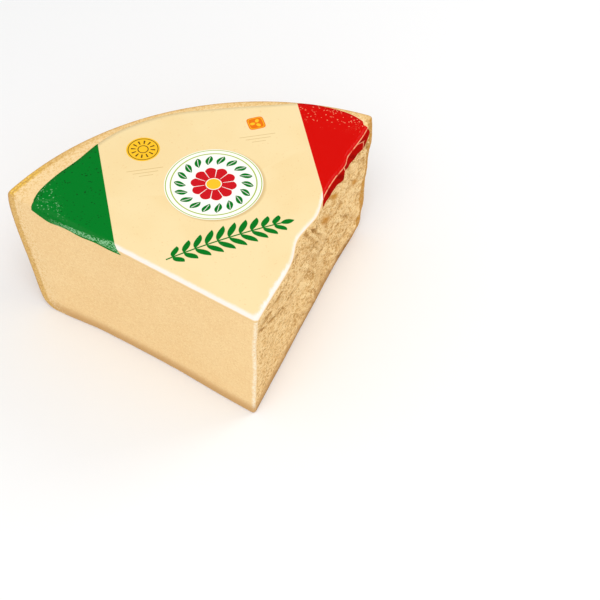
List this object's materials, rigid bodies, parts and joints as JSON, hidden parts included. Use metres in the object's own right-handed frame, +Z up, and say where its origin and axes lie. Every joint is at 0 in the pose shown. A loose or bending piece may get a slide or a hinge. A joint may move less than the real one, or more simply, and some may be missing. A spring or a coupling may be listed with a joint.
{
  "type": "hard cheese wedge",
  "caption": "Wedge of hard grainy cheese from a big drum-shaped wheel: rind at the back, one side cut smooth, the other broken rough, a folded film label over the top.",
  "frame": {"origin": "under the middle of the wedge's bounding box, on the plane it stands on", "axes": "+Z up, +Y from the tip to the rind along the middle of the wedge, +X along the rind's chord towards the broken side"},
  "size_m": [0.2666, 0.211, 0.0974],
  "materials": {
    "cheese": "pale straw hard cheese paste, smooth on the cut side and grainy on the broken one, with a golden brown rind",
    "label": "thin glossy printed film in green, cream and red fields"
  },
  "bodies": {
    "root": {"cheese": "cheese", "label": "label"}
  },
  "joints": []
}
